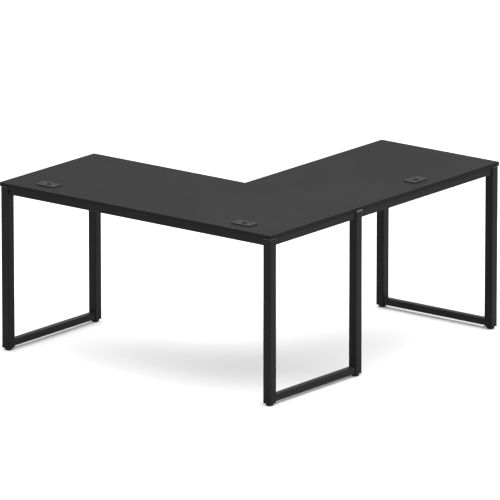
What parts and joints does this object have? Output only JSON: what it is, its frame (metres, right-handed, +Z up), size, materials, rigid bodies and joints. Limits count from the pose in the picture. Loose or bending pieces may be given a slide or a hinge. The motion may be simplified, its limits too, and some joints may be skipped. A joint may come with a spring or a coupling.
{
  "type": "corner desk",
  "caption": "L-shaped corner desk: flat boards on welded square-tube leg frames, with levelling feet and lidded rectangular cable grommets.",
  "frame": {"origin": "middle of the desk's outline, on the floor", "axes": "+X along the main desk from its free end to the outer corner, +Y along the wing from the outer corner to its far end, +Z up"},
  "size_m": [1.483, 1.614, 0.7485],
  "materials": {
    "board": "matt black laminate on particle board, fine grain",
    "frame": "satin black powder coat",
    "grommet": "black moulded plastic with a fine sheen",
    "plug": "black moulded plastic",
    "foot": "black moulded foot pad",
    "fastener": "black zinc-plated steel"
  },
  "bodies": {
    "desk": {"main_top": "board", "wing_top": "board", "seam_cap": "frame", "post_left_outer": "frame", "post_left_inner": "frame", "post_corner_outer": "frame", "post_corner_inner": "frame", "post_far_inner": "frame", "post_far_outer": "frame", "top_rail_left": "frame", "top_rail_corner": "frame", "top_rail_far": "frame", "bottom_rail_left": "frame", "bottom_rail_corner": "frame", "bottom_rail_far": "frame", "beam_main_outer": "frame", "beam_main_inner": "frame", "beam_wing_outer": "frame", "beam_wing_inner": "frame", "spigot_main_outer_start": "frame", "spigot_main_outer_end": "frame", "spigot_main_inner_start": "frame", "spigot_main_inner_end": "frame", "spigot_wing_outer_start": "frame", "spigot_wing_outer_end": "frame", "spigot_wing_inner_start": "frame", "spigot_wing_inner_end": "frame", "screw_main_outer_start": "fastener", "screw_main_outer_end": "fastener", "screw_main_inner_start": "fastener", "screw_main_inner_end": "fastener", "screw_wing_outer_start": "fastener", "screw_wing_outer_end": "fastener", "screw_wing_inner_start": "fastener", "screw_wing_inner_end": "fastener", "plug_left_outer": "plug", "plug_left_inner": "plug", "plug_corner_outer": "plug", "plug_corner_inner": "plug", "plug_far_inner": "plug", "plug_far_outer": "plug", "grommet_base_1": "grommet", "grommet_base_2": "grommet", "grommet_base_3": "grommet"},
    "foot_left_outer": {"foot_stem_left_outer": "fastener", "foot_pad_left_outer": "foot"},
    "foot_left_inner": {"foot_stem_left_inner": "fastener", "foot_pad_left_inner": "foot"},
    "foot_corner_outer": {"foot_stem_corner_outer": "fastener", "foot_pad_corner_outer": "foot"},
    "foot_corner_inner": {"foot_stem_corner_inner": "fastener", "foot_pad_corner_inner": "foot"},
    "foot_far_inner": {"foot_stem_far_inner": "fastener", "foot_pad_far_inner": "foot"},
    "foot_far_outer": {"foot_stem_far_outer": "fastener", "foot_pad_far_outer": "foot"},
    "lid_1": {"grommet_lid_1": "grommet"},
    "lid_2": {"grommet_lid_2": "grommet"},
    "lid_3": {"grommet_lid_3": "grommet"}
  },
  "joints": [
    {"name": "level_left_outer", "type": "slide", "parent": "desk", "child": "foot_left_outer", "axis": [0, 0, -1], "range_m": [0, 0.012]},
    {"name": "level_left_inner", "type": "slide", "parent": "desk", "child": "foot_left_inner", "axis": [0, 0, -1], "range_m": [0, 0.012]},
    {"name": "level_corner_outer", "type": "slide", "parent": "desk", "child": "foot_corner_outer", "axis": [0, 0, -1], "range_m": [0, 0.012]},
    {"name": "level_corner_inner", "type": "slide", "parent": "desk", "child": "foot_corner_inner", "axis": [0, 0, -1], "range_m": [0, 0.012]},
    {"name": "level_far_inner", "type": "slide", "parent": "desk", "child": "foot_far_inner", "axis": [0, 0, -1], "range_m": [0, 0.012]},
    {"name": "level_far_outer", "type": "slide", "parent": "desk", "child": "foot_far_outer", "axis": [0, 0, -1], "range_m": [0, 0.012]},
    {"name": "lift_lid_1", "type": "slide", "parent": "desk", "child": "lid_1", "axis": [0, 0, 1], "range_m": [0, 0.03]},
    {"name": "lift_lid_2", "type": "slide", "parent": "desk", "child": "lid_2", "axis": [0, 0, 1], "range_m": [0, 0.03]},
    {"name": "lift_lid_3", "type": "slide", "parent": "desk", "child": "lid_3", "axis": [0, 0, 1], "range_m": [0, 0.03]}
  ]
}
